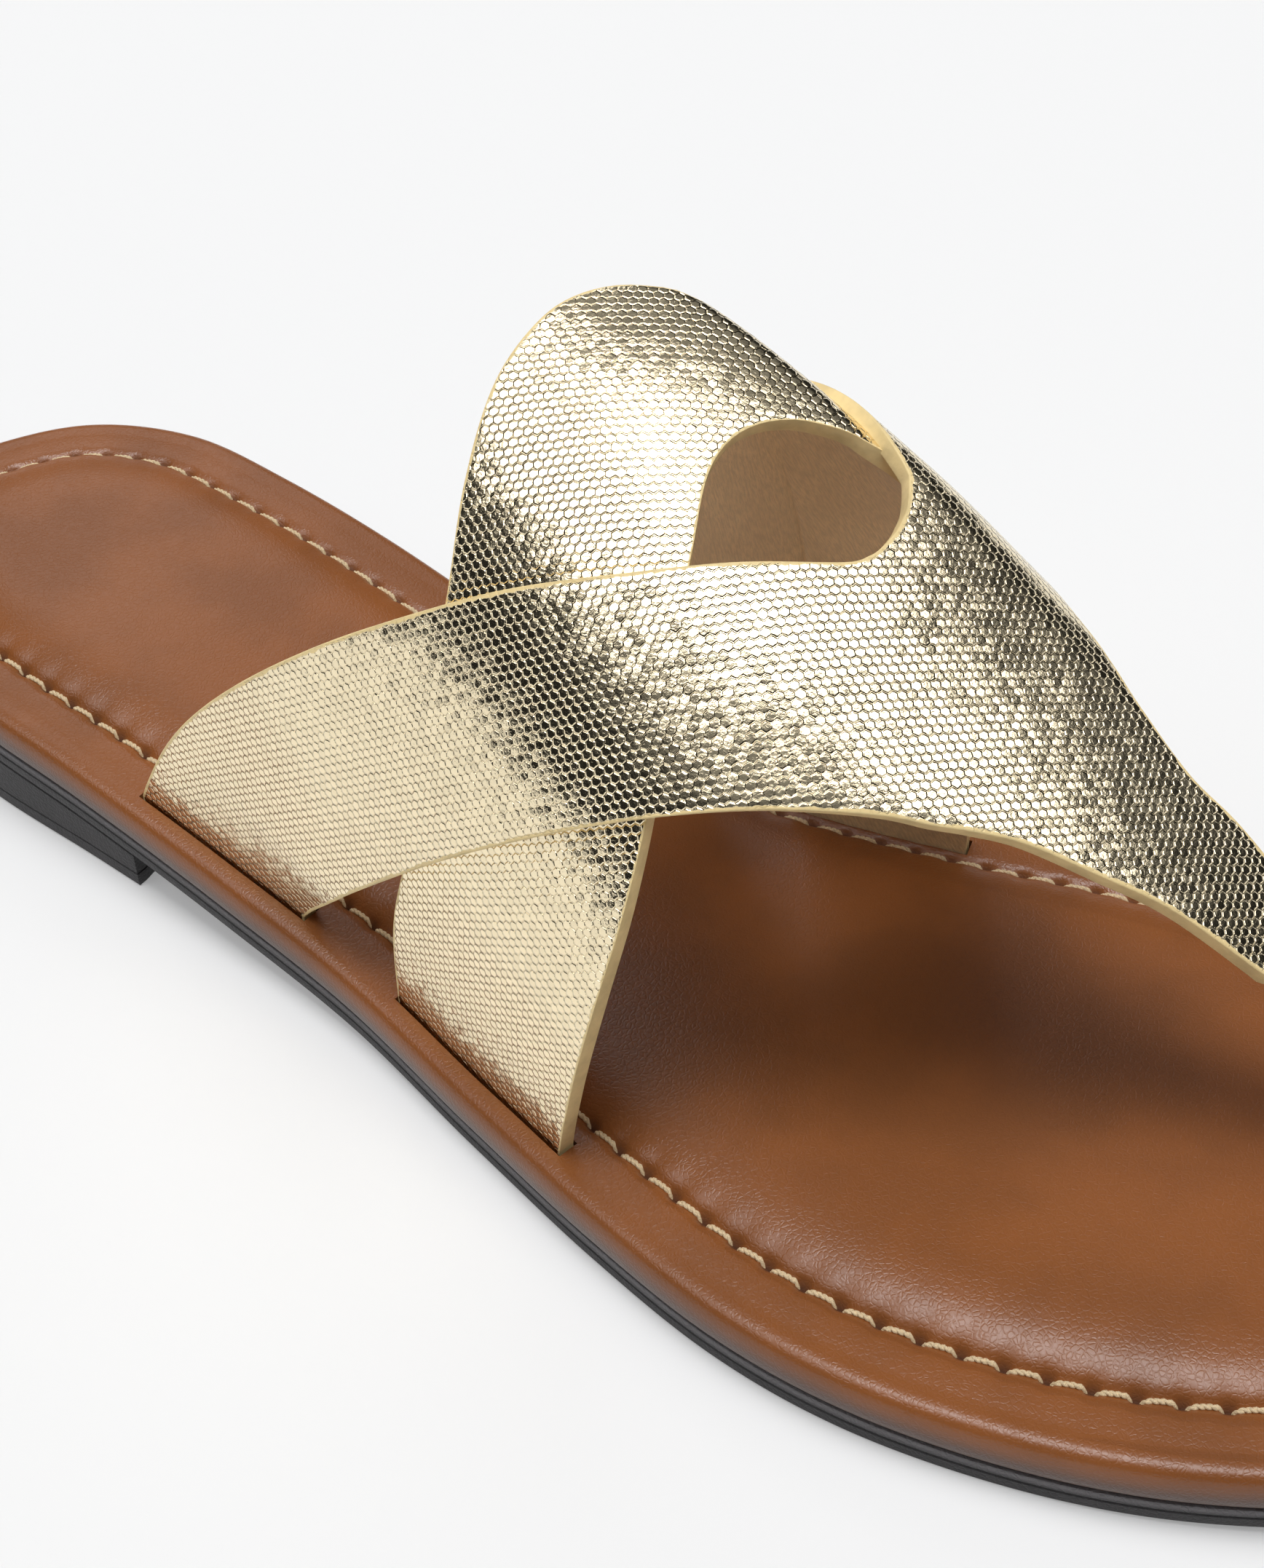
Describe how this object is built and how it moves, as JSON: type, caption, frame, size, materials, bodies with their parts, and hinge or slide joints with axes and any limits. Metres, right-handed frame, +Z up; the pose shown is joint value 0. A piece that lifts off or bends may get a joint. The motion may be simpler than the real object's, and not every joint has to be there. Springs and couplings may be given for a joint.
{
  "type": "cross strap sandal",
  "caption": "Flat right-foot leather sandal: crossed foil straps run from slots in the stitched, padded footbed over the instep to a toe post, on a thin outsole with a low heel block",
  "frame": {"origin": "middle of the bounding box in plan, on the plane the heel block and the forefoot stand on", "axes": "+X from heel to toe, +Y to the inner (big toe) side of the foot, +Z up"},
  "size_m": [0.25, 0.088, 0.0837],
  "materials": {
    "foil_leather": "champagne metallic foil pressed with small pebbles, pale painted edges, beige suede lining",
    "footbed_leather": "smooth fine-grained tan leather, semi-gloss, padded inside a line of cream stitches",
    "sole_rubber": "matt dark grey",
    "heel_rubber": "matt dark grey"
  },
  "bodies": {
    "root": {"upper": "foil_leather", "footbed": "footbed_leather", "outsole": "sole_rubber", "heel": "heel_rubber"}
  },
  "joints": []
}
